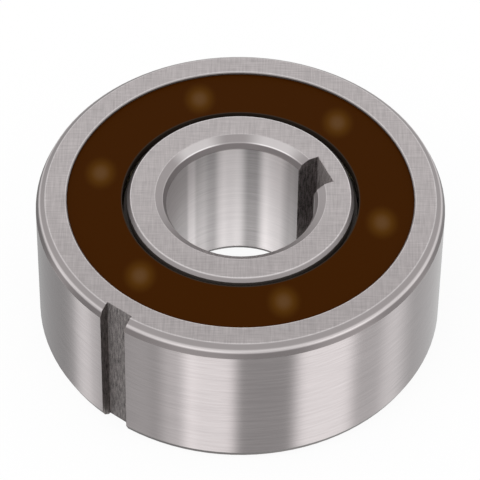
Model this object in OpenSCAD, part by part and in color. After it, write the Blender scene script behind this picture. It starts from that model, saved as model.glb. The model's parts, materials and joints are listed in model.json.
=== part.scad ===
// One-way clutch bearing: two rings, with six balls and six sprags between them.
// The axis is Z, the lower faces lie on Z = 0, and seen from above the inner
// ring overruns counter-clockwise and locks clockwise. Millimetres and degrees.

/* [Rings] */
// Diameter of the shaft bore
bore_d = 8; // [7.4:0.1:8.6]
// Diameter of the outside, where the housing seats
outer_d = 22; // [21:0.1:24]
// Width of both rings along the shaft
ring_width = 9; // [8.2:0.1:12]
// Thickness of the inner ring, from the bore to the track that the sprags bear on
inner_wall = 2.3; // [2.1:0.05:2.5]
// Thickness of the outer ring, from its track to the outside
outer_wall = 1.8; // [1.6:0.05:2.1]
// Depth of the ball groove in each track
ball_groove_depth = 0.31; // [0.2:0.01:0.4]
// Radius of the ball grooves as a share of the ball's diameter
groove_conformity = 0.52; // [0.515:0.005:0.54]

/* [Ring corners] */
// How far each outside corner reaches in across the face
rim_corner_across = 0.5; // [0.3:0.05:0.7]
// How far each outside corner reaches down the side
rim_corner_down = 0.67; // [0.5:0.01:1]
// Distance of the edge between a rim corner's two facets from the outside
rim_ridge_across = 0.17; // [0.1:0.01:0.25]
// Depth of the edge between a rim corner's two facets below the face
rim_ridge_down = 0.28; // [0.15:0.01:0.4]
// How far each bore corner reaches out across the face
bore_corner_across = 0.6; // [0.35:0.05:0.7]
// How far each bore corner reaches down the bore
bore_corner_down = 0.6; // [0.45:0.05:0.9]
// Distance of the edge between a bore corner's two facets from the bore
bore_ridge_across = 0.18; // [0.1:0.01:0.3]
// Depth of the edge between a bore corner's two facets below the face
bore_ridge_down = 0.26; // [0.15:0.01:0.4]
// Width of the chamfer round the outside of the inner ring's face
land_chamfer_across = 0.17; // [0.1:0.01:0.25]
// Depth of the chamfer round the outside of the inner ring's face
land_chamfer_down = 0.22; // [0.1:0.01:0.4]

/* [Keyways] */
// Width of the keyway in the bore
shaft_key_w = 2; // [1.4:0.1:3]
// Depth of the keyway in the bore
shaft_key_depth = 1; // [0.7:0.05:1.2]
// Direction of the keyway in the bore
shaft_key_angle = 24; // [0:1:359]
// Width of the keyway in the outside
housing_key_w = 1.6; // [1:0.1:3]
// Depth of the keyway in the outside
housing_key_depth = 0.65; // [0.4:0.05:0.8]
// Direction of the keyway in the outside
housing_key_angle = 233; // [0:1:359]

/* [Shields] */
// Thickness of a shield
shield_t = 0.35; // [0.25:0.05:0.5]
// Depth of a shield's outer side below the ring faces
shield_recess = 0.18; // [0.1:0.02:0.4]
// Width of the running gap between a shield and the inner ring
shield_gap = 0.27; // [0.15:0.01:0.4]
// Height of the step from the sprag track out to the opening that a shield snaps through
shield_mouth_step = 0.13; // [0.08:0.01:0.2]
// Chamfer round that opening
shield_mouth_chamfer = 0.07; // [0.04:0.01:0.12]
// Depth of the groove behind that opening
shield_groove_depth = 0.27; // [0.15:0.01:0.35]
// Width of the stiffening lip under a shield's inner edge
shield_lip_w = 0.22; // [0.15:0.01:0.4]
// Height of that lip
shield_lip_h = 0.16; // [0.05:0.01:0.25]
// Depth of the inner ring's land for a shield below its sprag track
land_step = 0.2; // [0.1:0.01:0.3]
// Length of that land
land_len = 0.85; // [0.75:0.01:1]

/* [Sprags] */
// Greatest width of a sprag
sprag_w = 2; // [1.8:0.05:2.1]
// Width of a sprag's waist
sprag_waist_w = 1.4; // [1.1:0.05:1.6]
// Radius of the hollow on each side of the waist
sprag_waist_r = 2.2; // [1.6:0.1:4]
// Radius of the cam that bears on the outer ring
outer_cam_r = 1.65; // [1.5:0.01:1.8]
// Radius of the cam that bears on the inner ring
inner_cam_r = 1.55; // [1.4:0.01:1.7]
// Angle at the clutch's axis between a sprag's two lines of contact
wedge_angle = 1.26; // [0.8:0.02:1.8]

/* [Cage] */
// Direction of the first ball, from which balls and sprags take turns
first_ball_angle = -12.5; // [-30:0.5:30]
// Room between the cage and each track
cage_side_gap = 0.35; // [0.3:0.01:0.5]
// Thickness of the cage's base and of its cap
cage_end_t = 0.6; // [0.5:0.05:0.7]
// Room between the cage and a shield
cage_end_gap = 0.37; // [0.3:0.01:0.5]
// Chamfer on the cage's end corners
cage_chamfer = 0.15; // [0.05:0.01:0.25]
// How much narrower than a ball the opening is that it snaps through into its pocket
ball_snap = 0.4; // [0.2:0.05:0.5]
// Diameter of the pegs that hold the cap
peg_d = 0.5; // [0.4:0.05:0.6]
// Length of those pegs
peg_len = 0.9; // [0.5:0.05:1]
// Distance of the pegs' middle from the inside of the cage
peg_inset = 0.45; // [0.4:0.05:0.7]

/* [Garter springs] */
// Diameter of a garter spring's coil
spring_d = 0.44; // [0.36:0.02:0.5]
// Distance of a spring from the end of the sprags
spring_inset = 0.55; // [0.45:0.01:0.6]

/* [Clearances] */
// Between a ball and the bottom of a groove
ball_play = 0.01; // [0.005:0.005:0.02]
// Between a sprag at rest and a track
sprag_play = 0.01; // [0.005:0.005:0.02]
// Between a ball and its pocket
pocket_play = 0.1; // [0.05:0.01:0.15]
// Between a sprag and each side of its window
window_play = 0.15; // [0.1:0.01:0.2]
// Between a sprag and each end of its window
window_end_play = 0.05; // [0.02:0.01:0.1]
// Between a peg and its hole
peg_play = 0.02; // [0.01:0.01:0.05]
// Between a spring and its groove in the cage
spring_play = 0.03; // [0.02:0.01:0.05]
// Between a spring and the floor of a sprag's notch, so that the sprag can tilt
notch_play = 0.12; // [0.1:0.01:0.2]
// Between a shield's rim and its groove, along the axis
rim_play = 0.02; // [0.01:0.01:0.03]
// Between a shield's rim and the bottom of its groove
rim_depth_play = 0.05; // [0.02:0.01:0.1]

/* [Hidden] */
$fn = 96;

// Balls and sprags take turns round the pitch circle.
pair_count = 6;
pair_angle = 360 / pair_count;
first_sprag_angle = first_ball_angle + pair_angle / 2;

outer_r = outer_d / 2;
bore_r = bore_d / 2;
inner_track_r = bore_r + inner_wall;
outer_track_r = outer_r - outer_wall;
track_gap = outer_track_r - inner_track_r;
pitch_r = (inner_track_r + outer_track_r) / 2;
mid = ring_width / 2;
overcut = 1;

// Balls fill the space between the bottoms of the two grooves.
outer_groove_bottom_r = outer_track_r + ball_groove_depth;
inner_groove_bottom_r = inner_track_r - ball_groove_depth;
ball_r = track_gap / 2 + ball_groove_depth - ball_play;
groove_r = groove_conformity * 2 * ball_r;

// Shields and what they fit
land_r = inner_track_r - land_step;
mouth_r = outer_track_r + shield_mouth_step;
shield_groove_r = mouth_r + shield_groove_depth;
shield_in_r = land_r + shield_gap;
shield_rim_r = shield_groove_r - rim_depth_play;
shield_top = ring_width - shield_recess;
shield_bottom = shield_top - shield_t;

// Cage, from the shields inwards
cage_in_r = inner_track_r + cage_side_gap;
cage_out_r = outer_track_r - cage_side_gap;
cage_wall = cage_out_r - cage_in_r;
cage_top = shield_bottom - cage_end_gap;
cage_bottom = ring_width - cage_top;
cap_bottom = cage_top - cage_end_t;
window_bottom = cage_bottom + cage_end_t;
window_w = sprag_w + 2 * window_play;
pocket_r = ball_r + pocket_play;
sprag_len = cap_bottom - window_bottom - 2 * window_end_play;

// The pegs stand in the middle of the webs, between a ball's mouth and a sprag's window.
ball_mouth_w = 2 * ball_r - ball_snap;
peg_r = cage_in_r + peg_inset;
mouth_edge_angle = asin(ball_mouth_w / 2 / peg_r);
window_edge_angle = asin(window_w / 2 / peg_r);
peg_angle = (mouth_edge_angle + pair_angle / 2 - window_edge_angle) / 2;

// Garter springs lie half sunk in the outside of the cage.
spring_r = cage_out_r;
spring_offset = sprag_len / 2 - spring_inset;
notch_w = spring_d + 2 * spring_play;
notch_floor_r = spring_r - spring_d / 2 - notch_play;

steel = [0.69, 0.67, 0.66];
bright_steel = [0.8, 0.8, 0.81];
dark_steel = [0.5, 0.5, 0.52];
brown = [0.24, 0.12, 0.02];
cream = [0.86, 0.8, 0.66];

// Profiles, with the radius along X and the height along Y

// Closes the upper half of a ring's outline with its mirror image below the middle.
function with_lower_half(points) =
    concat(points, [for (i = [len(points) - 1 : -1 : 0]) [points[i][0], ring_width - points[i][1]]]);

groove_top = shield_top + rim_play;
groove_floor = shield_bottom - rim_play;

// Outer ring, from the outside inwards
outer_half_outline = [
    [outer_r, ring_width - rim_corner_down],
    [outer_r - rim_ridge_across, ring_width - rim_ridge_down],
    [outer_r - rim_corner_across, ring_width],
    [mouth_r + shield_mouth_chamfer, ring_width],
    [mouth_r, ring_width - shield_mouth_chamfer],
    [mouth_r, groove_top],
    [shield_groove_r, groove_top],
    [shield_groove_r, groove_floor],
    [outer_track_r, groove_floor]
];

// Inner ring, from the outside inwards
inner_half_outline = [
    [inner_track_r, ring_width - land_len],
    [land_r, ring_width - land_len],
    [land_r, ring_width - land_chamfer_down],
    [land_r - land_chamfer_across, ring_width],
    [bore_r + bore_corner_across, ring_width],
    [bore_r + bore_ridge_across, ring_width - bore_ridge_down],
    [bore_r, ring_width - bore_corner_down]
];

// A shield: thin rim that snaps into the groove, flat web and a lip under the inner edge
module shield_profile() {
    polygon([
        [shield_in_r, shield_top],
        [shield_rim_r, shield_top],
        [shield_rim_r, shield_bottom],
        [shield_in_r + shield_lip_w, shield_bottom],
        [shield_in_r + shield_lip_w, shield_bottom - shield_lip_h],
        [shield_in_r, shield_bottom - shield_lip_h]
    ]);
}

// A part of the cage, flat at one end and with chamfered corners at the other
module cage_profile(flat_end, chamfered_end) {
    chamfer_start = chamfered_end - sign(chamfered_end - flat_end) * cage_chamfer;
    polygon([
        [cage_in_r, flat_end],
        [cage_out_r, flat_end],
        [cage_out_r, chamfer_start],
        [cage_out_r - cage_chamfer, chamfered_end],
        [cage_in_r + cage_chamfer, chamfered_end],
        [cage_in_r, chamfer_start]
    ]);
}

// A sprag's outline at angle 0: a bar with a hollow waist, rounded at both ends by a cam. The
// inner cam leads, so that the sprag wedges when the inner ring turns clockwise.
module sprag_outline() {
    outer_cam_centre_r = outer_track_r - sprag_play - outer_cam_r;
    inner_cam_centre_r = inner_track_r + sprag_play + inner_cam_r;
    intersection() {
        rotate(-wedge_angle / 2) {
            translate([outer_cam_centre_r, 0]) circle(outer_cam_r);
            translate([0, -outer_cam_r]) square([outer_cam_centre_r, 2 * outer_cam_r]);
        }
        rotate(wedge_angle / 2) {
            translate([inner_cam_centre_r, 0]) circle(inner_cam_r);
            translate([inner_cam_centre_r, -inner_cam_r]) square([outer_r, 2 * inner_cam_r]);
        }
        difference() {
            translate([inner_track_r, -sprag_w / 2])
                square([track_gap, sprag_w]);
            for (side = [-1, 1])
                translate([pitch_r, side * (sprag_waist_w / 2 + sprag_waist_r)])
                    circle(sprag_waist_r);
        }
    }
}

// Rings

module outer_ring() {
    color(steel)
        difference() {
            rotate_extrude()
                difference() {
                    polygon(with_lower_half(outer_half_outline));
                    translate([outer_groove_bottom_r - groove_r, mid]) circle(groove_r);
                }
            rotate(housing_key_angle)
                translate([outer_r - housing_key_depth, -housing_key_w / 2, -overcut])
                    cube([housing_key_depth + overcut, housing_key_w, ring_width + 2 * overcut]);
        }
}

module inner_ring() {
    color(steel)
        difference() {
            rotate_extrude()
                difference() {
                    polygon(with_lower_half(inner_half_outline));
                    translate([inner_groove_bottom_r + groove_r, mid]) circle(groove_r);
                }
            rotate(shaft_key_angle)
                translate([0, -shaft_key_w / 2, -overcut])
                    cube([bore_r + shaft_key_depth, shaft_key_w, ring_width + 2 * overcut]);
        }
}

// Shields

module upper_shield() {
    color(brown) rotate_extrude() shield_profile();
}

module lower_shield() {
    translate([0, 0, ring_width]) mirror([0, 0, 1]) upper_shield();
}

// Rolling and wedging parts

module ball(number) {
    color(bright_steel)
        rotate(first_ball_angle + (number - 1) * pair_angle)
            translate([pitch_r, 0, mid])
                sphere(ball_r);
}

module sprag(number) {
    color(dark_steel)
        rotate(first_sprag_angle + (number - 1) * pair_angle)
            difference() {
                translate([0, 0, mid - sprag_len / 2])
                    linear_extrude(sprag_len) sprag_outline();
                for (side = [-1, 1])
                    rotate_extrude()
                        translate([notch_floor_r, mid + side * spring_offset - notch_w / 2])
                            square([outer_track_r - notch_floor_r, notch_w]);
            }
}

// Cage

// Places its children at each of the twelve webs.
module at_webs() {
    for (number = [0 : pair_count - 1])
        for (side = [-1, 1])
            rotate(first_ball_angle + number * pair_angle + side * peg_angle)
                translate([peg_r, 0, cap_bottom])
                    children();
}

module garter_groove_cuts() {
    groove_depth = spring_d / 2 + spring_play;
    for (side = [-1, 1])
        rotate_extrude()
            translate([spring_r - groove_depth, mid + side * spring_offset - notch_w / 2])
                square([groove_depth + overcut, notch_w]);
}

module cage_body() {
    cut_wall = cage_wall + 2 * overcut;
    window_h = cap_bottom - window_bottom + overcut;
    mouth_h = cap_bottom - mid + overcut;
    color(cream)
        difference() {
            rotate_extrude() cage_profile(cap_bottom, cage_bottom);
            for (number = [0 : pair_count - 1]) {
                rotate(first_ball_angle + number * pair_angle)
                    translate([cage_in_r - overcut, 0, mid]) {
                        rotate([0, 90, 0]) cylinder(r = pocket_r, h = cut_wall);
                        translate([0, -ball_mouth_w / 2, 0]) cube([cut_wall, ball_mouth_w, mouth_h]);
                    }
                rotate(first_sprag_angle + number * pair_angle)
                    translate([cage_in_r - overcut, -window_w / 2, window_bottom])
                        cube([cut_wall, window_w, window_h]);
            }
            garter_groove_cuts();
            at_webs()
                translate([0, 0, -peg_len - peg_play])
                    cylinder(r = peg_d / 2 + peg_play, h = peg_len + overcut);
        }
}

module cage_cap() {
    color(cream) {
        rotate_extrude() cage_profile(cap_bottom, cage_top);
        at_webs() translate([0, 0, -peg_len]) cylinder(d = peg_d, h = peg_len + cage_end_t / 2);
    }
}

// Garter springs

module garter_spring(side) {
    color(bright_steel)
        rotate_extrude()
            translate([spring_r, mid + side * spring_offset])
                circle(d = spring_d);
}

outer_ring();
inner_ring();
upper_shield();
lower_shield();
cage_body();
cage_cap();
ball(1);  // ball_1
ball(2);  // ball_2
ball(3);  // ball_3
ball(4);  // ball_4
ball(5);  // ball_5
ball(6);  // ball_6
sprag(1);  // sprag_1
sprag(2);  // sprag_2
sprag(3);  // sprag_3
sprag(4);  // sprag_4
sprag(5);  // sprag_5
sprag(6);  // sprag_6
garter_spring(1);  // upper_garter_spring
garter_spring(-1);  // lower_garter_spring
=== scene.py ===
# Looks of the one-way clutch bearing: finishes, spring coils, floor, light and camera.
# Lengths in the settings are millimetres where no unit is given, and the scene itself is in metres.
import json
import math

import bpy
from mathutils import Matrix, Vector

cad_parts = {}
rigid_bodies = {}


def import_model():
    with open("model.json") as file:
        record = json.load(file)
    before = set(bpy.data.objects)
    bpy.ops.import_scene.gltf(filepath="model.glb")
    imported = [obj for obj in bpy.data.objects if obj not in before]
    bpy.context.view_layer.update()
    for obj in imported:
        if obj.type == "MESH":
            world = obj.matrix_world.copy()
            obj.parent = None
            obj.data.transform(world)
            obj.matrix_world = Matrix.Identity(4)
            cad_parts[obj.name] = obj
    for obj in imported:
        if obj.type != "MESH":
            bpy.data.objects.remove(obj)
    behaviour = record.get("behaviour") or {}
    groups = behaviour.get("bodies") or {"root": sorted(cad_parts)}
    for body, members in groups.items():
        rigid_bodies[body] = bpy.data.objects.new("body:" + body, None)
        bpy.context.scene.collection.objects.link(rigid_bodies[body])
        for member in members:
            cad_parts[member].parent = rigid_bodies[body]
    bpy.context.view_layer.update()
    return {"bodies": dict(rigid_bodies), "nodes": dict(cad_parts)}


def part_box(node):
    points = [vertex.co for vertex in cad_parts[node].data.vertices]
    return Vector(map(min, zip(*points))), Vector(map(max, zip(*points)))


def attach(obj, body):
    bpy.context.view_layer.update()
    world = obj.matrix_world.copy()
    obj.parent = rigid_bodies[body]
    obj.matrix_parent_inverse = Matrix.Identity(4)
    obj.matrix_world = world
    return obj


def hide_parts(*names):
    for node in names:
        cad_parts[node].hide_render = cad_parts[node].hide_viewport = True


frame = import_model()

mm = 0.001
ringLow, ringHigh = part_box("outer_ring")
outerRadius = (ringHigh.x - ringLow.x) / 2 / mm
middle = (ringHigh.z - ringLow.z) / mm / 2


# Shader tools

def colour(red, green, blue):
    # the three values as a picture editor shows them, 0 to 255
    linear = [((v / 255 + 0.055) / 1.055) ** 2.4 if v > 10 else v / 255 / 12.92 for v in (red, green, blue)]
    return (*linear, 1.0)


class Value:
    # a socket that can be used in sums
    def __init__(self, graph, socket):
        self.graph = graph
        self.socket = socket

    def __add__(self, other):
        return self.graph.sum("ADD", self, other)

    def __radd__(self, other):
        return self.graph.sum("ADD", other, self)

    def __sub__(self, other):
        return self.graph.sum("SUBTRACT", self, other)

    def __rsub__(self, other):
        return self.graph.sum("SUBTRACT", other, self)

    def __mul__(self, other):
        return self.graph.sum("MULTIPLY", self, other)

    def __rmul__(self, other):
        return self.graph.sum("MULTIPLY", other, self)

    def __pow__(self, other):
        return self.graph.sum("POWER", self, other)

    def __abs__(self):
        return self.graph.sum("ABSOLUTE", self)


class Graph:
    # the nodes of one material or world
    def __init__(self, tree):
        self.tree = tree
        tree.nodes.clear()

    def node(self, kind, settings=None, inputs=None):
        node = self.tree.nodes.new(kind)
        for name, value in (settings or {}).items():
            setattr(node, name, value)
        for name, value in (inputs or {}).items():
            if isinstance(value, Value):
                self.tree.links.new(value.socket, node.inputs[name])
            else:
                node.inputs[name].default_value = value
        return node

    def get(self, output, kind, settings=None, inputs=None):
        return Value(self, self.node(kind, settings, inputs).outputs[output])

    def sum(self, operation, *values):
        return self.get(0, "ShaderNodeMath", {"operation": operation}, dict(enumerate(values)))

    def step(self, value, low, high):
        # 0 below low, 1 above high and smooth between
        return self.get(0, "ShaderNodeMapRange", {"interpolation_type": "SMOOTHSTEP"},
                        {"Value": value, "From Min": low, "From Max": high})

    def line(self, distance, halfWidth, core=0.25):
        # 1 at distance 0 and within the core's share of the half width, and gone at the half width
        return 1 - self.step(distance, halfWidth * core, halfWidth)

    def band(self, value, centre, halfWidth, softness):
        # 1 near the centre, 0 away from it, and soft where it ends
        return 1 - self.step(abs(value - centre), halfWidth - softness, halfWidth + softness)

    # a Mix node has sockets 2 and 3 for numbers, and 6 and 7 for colours
    def mixNumber(self, factor, first, second):
        return self.get(0, "ShaderNodeMix", {"data_type": "FLOAT"}, {0: factor, 2: first, 3: second})

    def mixColour(self, factor, first, second, blend="MIX"):
        return self.get(2, "ShaderNodeMix", {"data_type": "RGBA", "blend_type": blend},
                        {0: factor, 6: first, 7: second})

    def shade(self, tone, factor):
        # the tone made lighter or darker by a number
        grey = self.get(0, "ShaderNodeCombineColor", None, {0: factor, 1: factor, 2: factor})
        return self.mixColour(1.0, tone, grey, "MULTIPLY")

    def place(self, body=None):
        # the point in millimetres, in the piece's own frame or in that of a body
        point = self.get("Object", "ShaderNodeTexCoord", {"object": body})
        return self.get("Vector", "ShaderNodeVectorMath", {"operation": "SCALE"},
                        {0: point, "Scale": 1 / mm})

    def split(self, vector):
        node = self.node("ShaderNodeSeparateXYZ", inputs={0: vector})
        return [Value(self, node.outputs[axis]) for axis in range(3)]

    def noise(self, vector, stretch, detail, roughness):
        # 0 to 1, with the vector multiplied by stretch first
        scaled = self.get("Vector", "ShaderNodeVectorMath", {"operation": "MULTIPLY"},
                          {0: vector, 1: stretch})
        return self.get(0, "ShaderNodeTexNoise", None,
                        {"Vector": scaled, "Scale": 1.0, "Detail": detail, "Roughness": roughness})

    def bump(self, height, strength, distance):
        return self.get("Normal", "ShaderNodeBump", None,
                        {"Height": height, "Strength": strength, "Distance": distance * mm})

    def finish(self, settings):
        # the shader and the output
        shader = self.node("ShaderNodeBsdfPrincipled", inputs=settings)
        self.node("ShaderNodeOutputMaterial", inputs={"Surface": Value(self, shader.outputs[0])})


def newFinish(name):
    material = bpy.data.materials.new(name)
    material.use_nodes = True
    return material, Graph(material.node_tree)


def wear(material, *nodes):
    for node in nodes:
        for slot in frame["nodes"][node].material_slots:
            slot.material = material


# Rings

steelTones = {
    "face": colour(178, 172, 172),
    # painted shade: the near half of the faces, a little darker
    "shadedNearFace": colour(168, 162, 162),
    # painted highlight along the ridge between the two facets
    "ridge": colour(210, 204, 204),
    # painted shade: the corner's facets are darker than the face, the second darker still and darkest at the
    # underside
    "firstFacetShade": colour(157, 151, 151),
    "secondFacetShade": colour(131, 125, 125),
    "lowerFacetShade": colour(104, 99, 98),
    # painted highlight along the edges of the faces
    "edge": colour(214, 209, 209),
    # painted highlights: the glints on the ridge, and the first facet where they fall
    "glint": colour(250, 246, 246),
    "paintedGlintFacet": colour(204, 199, 199),
    # painted shade in the narrow gap inside the clutch
    "recessShade": colour(78, 71, 67),
    # the ground track's steel, painted darker than the faces as shade in the deep gap
    "track": colour(130, 126, 126),
}

outerLook = {
    "wall": colour(166, 160, 160),
    # radius of the wall, radius and depth of the ridge between the two facets, and depth of the corner's end
    "corner": (outerRadius, outerRadius - 0.17, 0.28, 0.67),
    # half width of the ridge's painted highlight
    "ridgeHighlightWidth": 0.15,
    "ridgeHighlightShare": 0.95,     # how strongly the ridge shows away from its glints
    "lowerRidgeHighlight": 2.4,      # how many times narrower it is at the underside
    "glints": [],           # where the corner shines most: direction and half width in degrees
    "shaded": (0.0, 0.7),   # how much of its own tone the second facet keeps, and the keyway's floor
    # painted highlight circles on the face: radius, half width and share
    "edgeHighlights": [(outerRadius - 0.5, 0.06, 0.6), (9.4, 0.05, 0.7)],
    # the inside of the clutch: radius where it starts, 1 for outwards or -1 for inwards, and depth
    "hidden": (9.36, -1, 0.05),
    "key": {"direction": 233, "halfWidth": 0.8, "floor": outerRadius - 0.65,
            "floorTone": colour(118, 113, 112), "wallTone": colour(126, 120, 118)},
    # painted reflections round the wall: direction, half width and softness in degrees, and the share taken
    # or given
    "reflectionBands": [],
    "wallRoughness": 0.15,
    "anisotropy": 0.5,
}
innerLook = {
    "wall": colour(186, 182, 182),
    "corner": (4.0, 4.18, 0.26, 0.6),
    "ridgeHighlightWidth": 0.06,
    "ridgeHighlightShare": 0.35,
    "lowerRidgeHighlight": 1,
    "glints": [(124, 24), (64, 26)],
    "shaded": (0.6, 0.6),
    "edgeHighlights": [(4.6, 0.04, 0.4), (5.93, 0.07, 0.9)],
    "hidden": (5.98, 1, 0.21),
    "key": {"direction": 24, "halfWidth": 1.0, "floor": 5.0,
            "floorTone": colour(148, 141, 140), "wallTone": colour(134, 128, 127)},
    "reflectionBands": [(132.5, 4, 2, 0.4), (114, 4, 3, -0.2), (98, 9, 5, 0.7), (81, 6, 4, -0.3), (63, 10, 5, 0.8),
              (48, 5, 4, 0.2), (-50, 14, 8, 0.3), (-110, 12, 6, 0.4), (-150, 12, 8, -0.2)],
    "wallRoughness": 0.5,
    "anisotropy": 0.3,
}
ringSteel = {
    "soft": 0.01,           # half width of the border between two surfaces
    "nearHalf": (-9, 3),    # the faces go from their near tone to the plain one over this stretch of y
    "trackDepth": (0.88, 0.95),     # from here down the inside is a ground track
    "glintCore": 0.3,       # share of a glint's half width that shines fully
    "faceRoughness": 0.34,
    "keyRoughness": 0.5,
    "specular": 0.12,       # keeps the dark places from mirroring the sky
    "brushTurn": 0.25,      # direction of the brushed lines, as a share of a whole turn
    "bump": 0.15,
    "bumpDepth": 0.002,
}
# noise of the steel: waves per millimetre along and across its lines, and its shares in tone and bump
ringGrain = {
    "hatch": {"along": 0.7, "across": 12.0, "detail": 3.0, "roughness": 0.6, "tone": 0.6, "bump": 0.6},
    "brush": {"along": 0.4, "across": 9.0, "detail": 4.0, "roughness": 0.65, "tone": 0.4, "bump": 1.0},
    "streak": {"along": 1.8, "across": 13.0, "detail": 3.0, "roughness": 0.65, "tone": 3.3, "bump": 1.0},
    "mottle": {"along": 15.0, "across": 15.0, "detail": 2.0, "roughness": 0.6, "share": 0.5},
}


def grainNoise(graph, place, kind, axes):
    # centred on 0, with each of the three axes named along, across, or given as a number
    grain = ringGrain[kind]
    stretch = [grain.get(axis, axis) for axis in axes]
    return graph.noise(place, stretch, grain["detail"], grain["roughness"]) - 0.5


def ringFinish(name, look):
    material, graph = newFinish(name)
    place = graph.place()
    x, y, z = graph.split(place)
    radius = (x * x + y * y) ** 0.5
    depth = middle - abs(z - middle)
    around = graph.sum("ARCTAN2", y, x) * (180 / math.pi)
    soft = ringSteel["soft"]
    wallRadius, ridgeRadius, ridgeDepth, cornerDepth = look["corner"]
    hiddenRadius, hiddenSide, hiddenDepth = look["hidden"]
    outward = 1 if wallRadius > ridgeRadius else -1

    # which surface a point is on
    onFace = 1 - graph.step(depth, 0.5 * soft, 1.5 * soft)
    onWall = graph.step((radius - wallRadius) * outward, -2 * soft, -soft)
    beyondRidge = graph.step((radius - ridgeRadius) * outward, -soft, soft)
    inCorner = (1 - graph.step(depth, cornerDepth - soft, cornerDepth + soft)) * (1 - onFace)
    hidden = graph.step((radius - hiddenRadius) * hiddenSide, -2 * soft, 2 * soft)
    hidden = hidden * graph.step(depth, hiddenDepth - soft, hiddenDepth + 2 * soft)
    # painted shade: the inside of the clutch above the track is dark and not metal
    shadedRecess = hidden * (1 - graph.step(depth, *ringSteel["trackDepth"]))

    # the keyway, in the frame of its own direction
    key = look["key"]
    turn = math.radians(key["direction"])
    outwards = x * math.cos(turn) + y * math.sin(turn)
    sideways = abs(y * math.cos(turn) - x * math.sin(turn))
    inKey = 1 - graph.step(sideways, key["halfWidth"] + soft, key["halfWidth"] + 3 * soft)
    inKey = inKey * graph.step(outwards, 0, 10 * soft)
    keyFloor = inKey * graph.line(abs(outwards - key["floor"]), 5 * soft)
    pastFloor = graph.step((outwards - key["floor"]) * outward, -soft, soft) * (1 - onFace)
    keyWall = inKey * graph.line(abs(sideways - key["halfWidth"]), 5 * soft) * pastFloor
    onKey = graph.sum("MAXIMUM", keyFloor, keyWall)
    onPlainWall = onWall * (1 - onKey)

    # fine cross-hatch on the faces, lines brushed round the wall, and streaks along the keyway
    hatch = grainNoise(graph, place, "hatch", ("along", "across", 1.0))
    hatch = (hatch + grainNoise(graph, place, "hatch", ("across", "along", 1.0))) * onFace
    brushed = grainNoise(graph, place, "brush", ("along", "along", "across")) * onPlainWall
    streaks = grainNoise(graph, place, "streak", ("across", "across", "along"))
    mottle = grainNoise(graph, place, "mottle", ("across", "across", "along"))
    streaks = (streaks + mottle * ringGrain["mottle"]["share"]) * onKey

    # painted shade: the faces are darker over their near half
    face = graph.mixColour(graph.step(y, *ringSteel["nearHalf"]), steelTones["shadedNearFace"], steelTones["face"])
    # off the faces the tone starts from the track's, which is painted darker as shade
    tone = graph.mixColour(onFace, steelTones["track"], face)
    tone = graph.mixColour(shadedRecess, tone, steelTones["recessShade"])
    tone = graph.mixColour(onWall, tone, look["wall"])
    # painted shade on the corner's facets: darker at the second facet, and darker still at the underside
    tone = graph.mixColour(inCorner * (1 - hidden), tone, steelTones["firstFacetShade"])
    lowerHalf = 1 - graph.step(z, middle - 10 * soft, middle)
    facetShade = graph.mixColour(lowerHalf, steelTones["secondFacetShade"], steelTones["lowerFacetShade"])
    tone = graph.mixColour(inCorner * beyondRidge, tone, facetShade)
    # painted glints: the first facet and the ridge made brighter at a few directions
    shine = 0
    for direction, halfWidth in look["glints"]:
        shine = shine + graph.line(abs(around - direction), halfWidth, ringSteel["glintCore"])
    tone = graph.mixColour(shine * inCorner * (1 - beyondRidge), tone, steelTones["paintedGlintFacet"])
    # painted highlight: a bright line along the ridge, narrower at the underside
    ridge = ((radius - ridgeRadius) ** 2 + (depth - ridgeDepth) ** 2) ** 0.5
    ridge = ridge * (1 + lowerHalf * (look["lowerRidgeHighlight"] - 1))
    ridgeHighlightTone = graph.mixColour(shine, steelTones["ridge"], steelTones["glint"])
    ridgeHighlightShare = look["ridgeHighlightShare"] + shine * (1 - look["ridgeHighlightShare"])
    tone = graph.mixColour(graph.line(ridge, look["ridgeHighlightWidth"]) * ridgeHighlightShare, tone, ridgeHighlightTone)
    # painted highlights: thin bright circles along the edges
    for edgeRadius, halfWidth, share in look["edgeHighlights"]:
        edge = ((radius - edgeRadius) ** 2 + depth ** 2) ** 0.5
        tone = graph.mixColour(graph.line(edge, halfWidth) * share, tone, steelTones["edge"])
    tone = graph.mixColour(keyFloor, tone, key["floorTone"])
    tone = graph.mixColour(keyWall, tone, key["wallTone"])

    grainAndReflectionBands = 1 + hatch * ringGrain["hatch"]["tone"] + brushed * ringGrain["brush"]["tone"]
    grainAndReflectionBands = grainAndReflectionBands + streaks * ringGrain["streak"]["tone"]
    # painted reflections: lighter and darker bands round the wall, added to the grain
    for direction, halfWidth, softness, share in look["reflectionBands"]:
        grainAndReflectionBands = grainAndReflectionBands + graph.band(around, direction, halfWidth, softness) * onPlainWall * share

    # places that mirror nothing but shade keep part of their own tone
    shadedCorner, shadedKey = look["shaded"]
    shaded = graph.sum("MAXIMUM", inCorner * beyondRidge * shadedCorner, keyFloor * shadedKey)
    roughness = graph.mixNumber(onWall, ringSteel["faceRoughness"], look["wallRoughness"])
    height = hatch * ringGrain["hatch"]["bump"] + brushed * ringGrain["brush"]["bump"]
    height = height + streaks * ringGrain["streak"]["bump"]
    graph.finish({
        "Base Color": graph.shade(tone, grainAndReflectionBands),
        "Metallic": 1 - graph.sum("MAXIMUM", shadedRecess, shaded),
        "Roughness": graph.mixNumber(onKey, roughness, ringSteel["keyRoughness"]),
        "Specular IOR Level": ringSteel["specular"],
        "Anisotropic": look["anisotropy"],
        "Anisotropic Rotation": ringSteel["brushTurn"],
        "Normal": graph.bump(height, ringSteel["bump"], ringSteel["bumpDepth"]),
    })
    return material


wear(ringFinish("outerRingSteel", outerLook), "outer_ring")
wear(ringFinish("innerRingSteel", innerLook), "inner_ring")
print("rings finished")


# Shields

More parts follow.
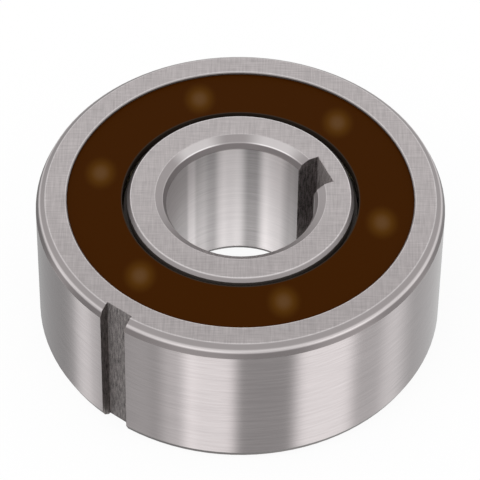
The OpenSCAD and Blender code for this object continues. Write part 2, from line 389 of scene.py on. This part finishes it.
shieldPlastic = {
    "brown": colour(55, 24, 0),
    # painted glow where the balls lie under the plastic
    "spots": 6,
    "firstSpot": -12.5,     # direction in degrees
    "spotPitchRadius": 7.75,
    "spotStretch": 1.35,
    "ballGlowCore": colour(88, 60, 33),
    "coreFade": (0.1, 0.58),        # from full at the first radius to nothing at the second
    "ballGlowRim": colour(77, 46, 8),
    "rimFade": (0.35, 1.02),
    # painted shade at the inner edge, beside the gap to the inner ring
    "innerEdge": (6.39, 6.45),      # radii over which the dark inner edge goes over into the brown
    "innerEdgeShade": colour(50, 42, 36),
    "grain": 9.0,
    "roughness": 0.42,
    "roughnessGrain": 0.2,
    "specular": 0.04,
    "specularTint": (1.0, 0.55, 0.05, 1.0),
    "bump": 0.1,
    "bumpDepth": 0.01,
}


def shieldFinish():
    material, graph = newFinish("brownShield")
    # painted glow: soft lighter spots where the balls lie under the plastic, standing in for their light
    # seen through it, so the spots are placed in the cage's frame
    x, y, z = graph.split(graph.place(frame["bodies"]["cage"]))
    cores = 0
    rims = 0
    for number in range(shieldPlastic["spots"]):
        angle = math.radians(shieldPlastic["firstSpot"] + 360 / shieldPlastic["spots"] * number)
        across = x - shieldPlastic["spotPitchRadius"] * math.cos(angle)
        along = (y - shieldPlastic["spotPitchRadius"] * math.sin(angle)) * (1 / shieldPlastic["spotStretch"])
        distance = (across ** 2 + along ** 2) ** 0.5
        cores = cores + (1 - graph.step(distance, *shieldPlastic["coreFade"]))
        rims = rims + (1 - graph.step(distance, *shieldPlastic["rimFade"]))
    tone = graph.mixColour(rims, shieldPlastic["brown"], shieldPlastic["ballGlowRim"])
    tone = graph.mixColour(cores, tone, shieldPlastic["ballGlowCore"])
    # painted shade: the inner edge is dark, as the gap beside it lies in shade
    edgeShade = 1 - graph.step((x * x + y * y) ** 0.5, *shieldPlastic["innerEdge"])
    grain = graph.noise(graph.place(), [shieldPlastic["grain"]] * 3, detail=3.0, roughness=0.6)
    graph.finish({
        "Base Color": graph.mixColour(edgeShade, tone, shieldPlastic["innerEdgeShade"]),
        "Roughness": shieldPlastic["roughness"] + (grain - 0.5) * shieldPlastic["roughnessGrain"],
        "Specular IOR Level": shieldPlastic["specular"],
        "Specular Tint": shieldPlastic["specularTint"],
        "Normal": graph.bump(grain, shieldPlastic["bump"], shieldPlastic["bumpDepth"]),
    })
    return material


wear(shieldFinish(), "upper_shield", "lower_shield")
print("shields finished")


# Inside pieces

# stretch is the grain's waves per millimetre on the three axes, and contrast is its share in the tone
innerSteel = {
    "ball": {"tone": colour(196, 196, 199), "roughness": 0.08,
             "stretch": (3.0, 3.0, 3.0), "contrast": 0.05},
    "sprag": {"tone": colour(138, 136, 137), "roughness": 0.3,
              "stretch": (2.0, 2.0, 30.0), "contrast": 0.3},
    "spring": {"tone": colour(176, 176, 180), "roughness": 0.22,
               "stretch": (8.0, 8.0, 8.0), "contrast": 0.15},
    "roughnessGrain": 0.1,
    "bump": 0.1,
    "bumpDepth": 0.004,
}


def steelFinish(name, piece):
    look = innerSteel[piece]
    material, graph = newFinish(name)
    grain = graph.noise(graph.place(), look["stretch"], detail=3.0, roughness=0.6) - 0.5
    graph.finish({
        "Base Color": graph.shade(look["tone"], 1 + grain * look["contrast"]),
        "Metallic": 1.0,
        "Roughness": look["roughness"] + grain * innerSteel["roughnessGrain"],
        "Normal": graph.bump(grain, innerSteel["bump"], innerSteel["bumpDepth"]),
    })
    return material


cagePlastic = {
    "tone": colour(216, 199, 162),
    "paleTone": colour(228, 214, 182),
    "flow": (0.6, 0.6, 1.4),
    "grain": 14.0,
    "roughness": 0.5,
    "roughnessGrain": 0.2,
    "glow": 0.1,            # share of light that passes through the surface
    "glowReach": (0.4 * mm, 0.3 * mm, 0.2 * mm),
    "bump": 0.15,
    "bumpDepth": 0.01,
}


def cageFinish():
    material, graph = newFinish("cagePlastic")
    place = graph.place()
    grain = graph.noise(place, [cagePlastic["grain"]] * 3, detail=4.0, roughness=0.6) - 0.5
    flow = graph.noise(place, cagePlastic["flow"], detail=2.0, roughness=0.5)
    graph.finish({
        "Base Color": graph.mixColour(flow, cagePlastic["tone"], cagePlastic["paleTone"]),
        "Roughness": cagePlastic["roughness"] + grain * cagePlastic["roughnessGrain"],
        "Subsurface Weight": cagePlastic["glow"],
        "Subsurface Radius": cagePlastic["glowReach"],
        "Normal": graph.bump(grain, cagePlastic["bump"], cagePlastic["bumpDepth"]),
    })
    return material


springNodes = ("upper_garter_spring", "lower_garter_spring")
springSteel = steelFinish("springSteel", "spring")
wear(steelFinish("polishedBallSteel", "ball"), *[f"ball_{number}" for number in range(1, 7)])
wear(steelFinish("groundSpragSteel", "sprag"), *[f"sprag_{number}" for number in range(1, 7)])
wear(springSteel, *springNodes)
wear(cageFinish(), "cage_body", "cage_cap")
print("inside finished")


# Garter springs, as closed coils of wire

garterCoil = {
    "wire": 0.1 * mm,
    "turns": 300,
    "pointsPerTurn": 10,
    "sides": 6,
}


def coilSpring(node):
    low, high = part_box(node)
    coilRadius = (high.z - low.z) / 2
    pathRadius = (high.x - low.x) / 2 - coilRadius
    height = (high.z + low.z) / 2
    wireRadius = garterCoil["wire"] / 2
    turnRadius = coilRadius - wireRadius
    sides = garterCoil["sides"]
    count = garterCoil["turns"] * garterCoil["pointsPerTurn"]

    def angles(step):
        # round the ring, and round the coil
        along = 2 * math.pi * step / count
        return along, along * garterCoil["turns"]

    def centre(step):
        along, phase = angles(step)
        reach = pathRadius + turnRadius * math.cos(phase)
        lift = height + turnRadius * math.sin(phase)
        return Vector((reach * math.cos(along), reach * math.sin(along), lift))

    vertices = []
    for step in range(count):
        here = centre(step)
        ahead = (centre(step + 1) - centre(step - 1)).normalized()
        along, phase = angles(step)
        out = Vector((math.cos(phase) * math.cos(along), math.cos(phase) * math.sin(along), math.sin(phase)))
        out = (out - ahead * out.dot(ahead)).normalized()
        other = ahead.cross(out)
        for side in range(sides):
            turn = 2 * math.pi * side / sides
            vertices.append(here + (out * math.cos(turn) + other * math.sin(turn)) * wireRadius)
    faces = []
    for step in range(count):
        following = (step + 1) % count
        for side in range(sides):
            beside = (side + 1) % sides
            faces.append((step * sides + side, step * sides + beside,
                          following * sides + beside, following * sides + side))
    mesh = bpy.data.meshes.new(node + "_coil")
    mesh.from_pydata(vertices, [], faces)
    mesh.polygons.foreach_set("use_smooth", [True] * len(faces))
    mesh.materials.append(springSteel)
    coil = bpy.data.objects.new(node + "_coil", mesh)
    bpy.context.scene.collection.objects.link(coil)
    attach(coil, "cage")
    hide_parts(node)


for springNode in springNodes:
    coilSpring(springNode)
print("springs wound")


# Floor, light and camera

studio = {
    "floorSize": 1.2,       # metres
    "floorBelow": 0.01,
    "paper": (0.95, 0.95, 0.95, 1),
    "whiteShare": 0.92,
    "daylight": 0.85,
    # upright strips of light that the brushed side mirrors: azimuth from the front, half width and softness
    # in degrees, and strength above the light between them
    "strips": [(-145, 30, 8, -0.14), (-99, 8, 6, 0.75), (-58, 8, 5, 0.16), (-36, 9, 6, 0.5),
               (-16, 14.5, 5, 1.15), (51.5, 17.5, 6, 1.2), (91, 23, 6, 0.3), (99, 8, 6, 0.36),
               (142, 30, 8, 0.08)],
    "between": 0.62,
    "stripsFade": (-0.3, 0.12),     # height of the direction, over which the strips give way to plain light
}
white = (1, 1, 1, 1)


def rays(graph):
    # 1 for what metal mirrors, and 1 for what the camera sees straight on or through glass
    path = graph.node("ShaderNodeLightPath")
    camera, glossy, through = (Value(graph, path.outputs[name])
                               for name in ("Is Camera Ray", "Is Glossy Ray", "Is Transmission Ray"))
    return glossy, graph.sum("MAXIMUM", camera, through)


def makeFloor():
    half = studio["floorSize"] / 2
    corners = [(-half, -half, 0), (half, -half, 0), (half, half, 0), (-half, half, 0)]
    mesh = bpy.data.meshes.new("floor")
    mesh.from_pydata(corners, [], [(0, 1, 2, 3)])
    floor = bpy.data.objects.new("floor", mesh)
    floor.location.z = -studio["floorBelow"] * mm
    bpy.context.scene.collection.objects.link(floor)
    material, graph = newFinish("paleFloor")
    glossy, seen = rays(graph)
    paper = graph.get(0, "ShaderNodeBsdfDiffuse", None, {"Color": studio["paper"]})
    glow = graph.get(0, "ShaderNodeEmission", None, {"Color": white, "Strength": 1.0})
    clear = graph.get(0, "ShaderNodeBsdfTransparent")
    pale = graph.get(0, "ShaderNodeMixShader", None, {0: seen * studio["whiteShare"], 1: paper, 2: glow})
    # metal looks through the floor at the studio below it
    surface = graph.get(0, "ShaderNodeMixShader", None, {0: glossy, 1: pale, 2: clear})
    graph.node("ShaderNodeOutputMaterial", None, {"Surface": surface})
    mesh.materials.append(material)


def makeStudio():
    world = bpy.data.worlds.new("studio")
    world.use_nodes = True
    bpy.context.scene.world = world
    graph = Graph(world.node_tree)
    glossy, seen = rays(graph)
    x, y, z = graph.split(graph.get("Generated", "ShaderNodeTexCoord"))
    # the azimuth from the front, in degrees, positive to the right
    azimuth = graph.sum("ARCTAN2", x, -1 * y) * (180 / math.pi)
    strips = studio["between"]
    for centre, halfWidth, softness, strength in studio["strips"]:
        strips = strips + graph.band(azimuth, centre, halfWidth, softness) * strength
    low = 1 - graph.step(z, *studio["stripsFade"])
    level = graph.mixNumber(glossy, studio["daylight"], graph.mixNumber(low, 1.0, strips))
    level = graph.mixNumber(seen, level, 1.0)
    shine = graph.get(0, "ShaderNodeBackground", None, {"Color": white, "Strength": level})
    graph.node("ShaderNodeOutputWorld", None, {"Surface": shine})


# directions in degrees, distance and size in metres, power in watts
lamps = {
    "keyLamp": {"azimuth": -40, "elevation": 60, "distance": 0.35, "size": 0.25, "power": 0.3},
    "fillLamp": {"azimuth": 60, "elevation": 45, "distance": 0.4, "size": 0.3, "power": 0.12},
}


def awayTo(azimuth, elevation):
    # the direction from the part, with the azimuth from the front and positive to the right
    around, up = math.radians(azimuth), math.radians(elevation)
    return Vector((math.sin(around) * math.cos(up), -math.cos(around) * math.cos(up), math.sin(up)))


def makeLamp(name, setting):
    away = awayTo(setting["azimuth"], setting["elevation"])
    data = bpy.data.lights.new(name, "AREA")
    data.shape = "DISK"
    data.size = setting["size"]
    data.energy = setting["power"]
    lamp = bpy.data.objects.new(name, data)
    lamp.location = Vector((0, 0, middle * mm)) + away * setting["distance"]
    lamp.rotation_mode = "QUATERNION"
    lamp.rotation_quaternion = away.to_track_quat("Z", "Y")
    lamp.visible_glossy = False
    bpy.context.scene.collection.objects.link(lamp)


photoView = {
    "elevation": 47.6,
    "roll": 0.8,
    "distance": 0.195,      # metres
    "aimHeight": 5.45,
    "lens": 269.0,
    "sensor": 36,
    "clip": (0.01, 10),     # metres
}


def makeCamera():
    back = awayTo(0, photoView["elevation"])
    data = bpy.data.cameras.new("camera")
    data.lens = photoView["lens"]
    data.sensor_width = photoView["sensor"]
    data.clip_start, data.clip_end = photoView["clip"]
    camera = bpy.data.objects.new("camera", data)
    camera.location = Vector((0, 0, photoView["aimHeight"] * mm)) + back * photoView["distance"]
    camera.rotation_euler = (-back).to_track_quat("-Z", "Y").to_euler()
    camera.rotation_euler.rotate_axis("Z", math.radians(photoView["roll"]))
    bpy.context.scene.collection.objects.link(camera)
    bpy.context.scene.camera = camera


makeFloor()
makeStudio()
for lampName, lampSetting in lamps.items():
    makeLamp(lampName, lampSetting)
makeCamera()
bpy.context.scene.view_settings.view_transform = "Standard"
print("studio ready")
